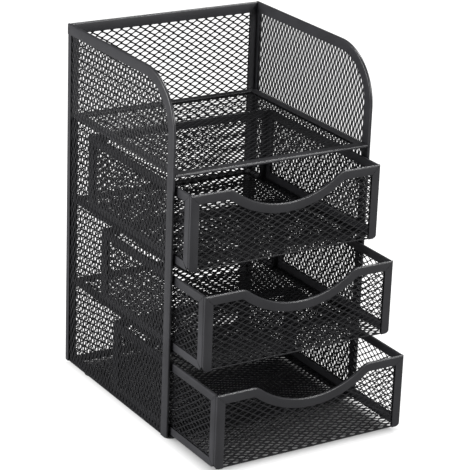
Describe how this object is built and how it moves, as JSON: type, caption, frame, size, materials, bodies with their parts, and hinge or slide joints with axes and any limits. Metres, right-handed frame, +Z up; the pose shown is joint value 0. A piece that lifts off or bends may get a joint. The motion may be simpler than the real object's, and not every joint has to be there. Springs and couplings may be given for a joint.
{
  "type": "desk organizer with drawers",
  "caption": "Black metal mesh desk organizer: open top tray with rounded mesh sides above scooped-front sliding drawers, in folded steel edging.",
  "frame": {"origin": "on the desk, in the middle of the box round the stand with its drawers part open as pictured", "axes": "+X to the right seen from the front, +Y to the back, +Z up; the drawers slide out towards -Y"},
  "size_m": [0.13, 0.174, 0.2137],
  "materials": {
    "edging": "satin black powder coat on folded steel strip",
    "net": "satin black powder coat on expanded metal",
    "feet": "matte"
  },
  "bodies": {
    "cabinet": {"left_side_net": "net", "left_side_edging": "edging", "right_side_net": "net", "right_side_edging": "edging", "back_net": "net", "back_edging": "edging", "tray_net": "net", "tray_edging": "edging", "upper_shelf_net": "net", "upper_shelf_edging": "edging", "lower_shelf_net": "net", "lower_shelf_edging": "edging", "base_net": "net", "base_edging": "edging", "feet": "feet"},
    "drawer_top": {"top_front_net": "net", "top_front_edging": "edging", "top_left_net": "net", "top_left_edging": "edging", "top_right_net": "net", "top_right_edging": "edging", "top_back_net": "net", "top_back_edging": "edging", "top_floor_net": "net"},
    "drawer_middle": {"middle_front_net": "net", "middle_front_edging": "edging", "middle_left_net": "net", "middle_left_edging": "edging", "middle_right_net": "net", "middle_right_edging": "edging", "middle_back_net": "net", "middle_back_edging": "edging", "middle_floor_net": "net"},
    "drawer_bottom": {"bottom_front_net": "net", "bottom_front_edging": "edging", "bottom_left_net": "net", "bottom_left_edging": "edging", "bottom_right_net": "net", "bottom_right_edging": "edging", "bottom_back_net": "net", "bottom_back_edging": "edging", "bottom_floor_net": "net"}
  },
  "joints": [
    {"name": "top_drawer_slide", "type": "slide", "parent": "cabinet", "child": "drawer_top", "axis": [0, -1, 0], "range_m": [-0.015, 0.08]},
    {"name": "middle_drawer_slide", "type": "slide", "parent": "cabinet", "child": "drawer_middle", "axis": [0, -1, 0], "range_m": [-0.033, 0.062]},
    {"name": "bottom_drawer_slide", "type": "slide", "parent": "cabinet", "child": "drawer_bottom", "axis": [0, -1, 0], "range_m": [-0.049, 0.046]}
  ]
}
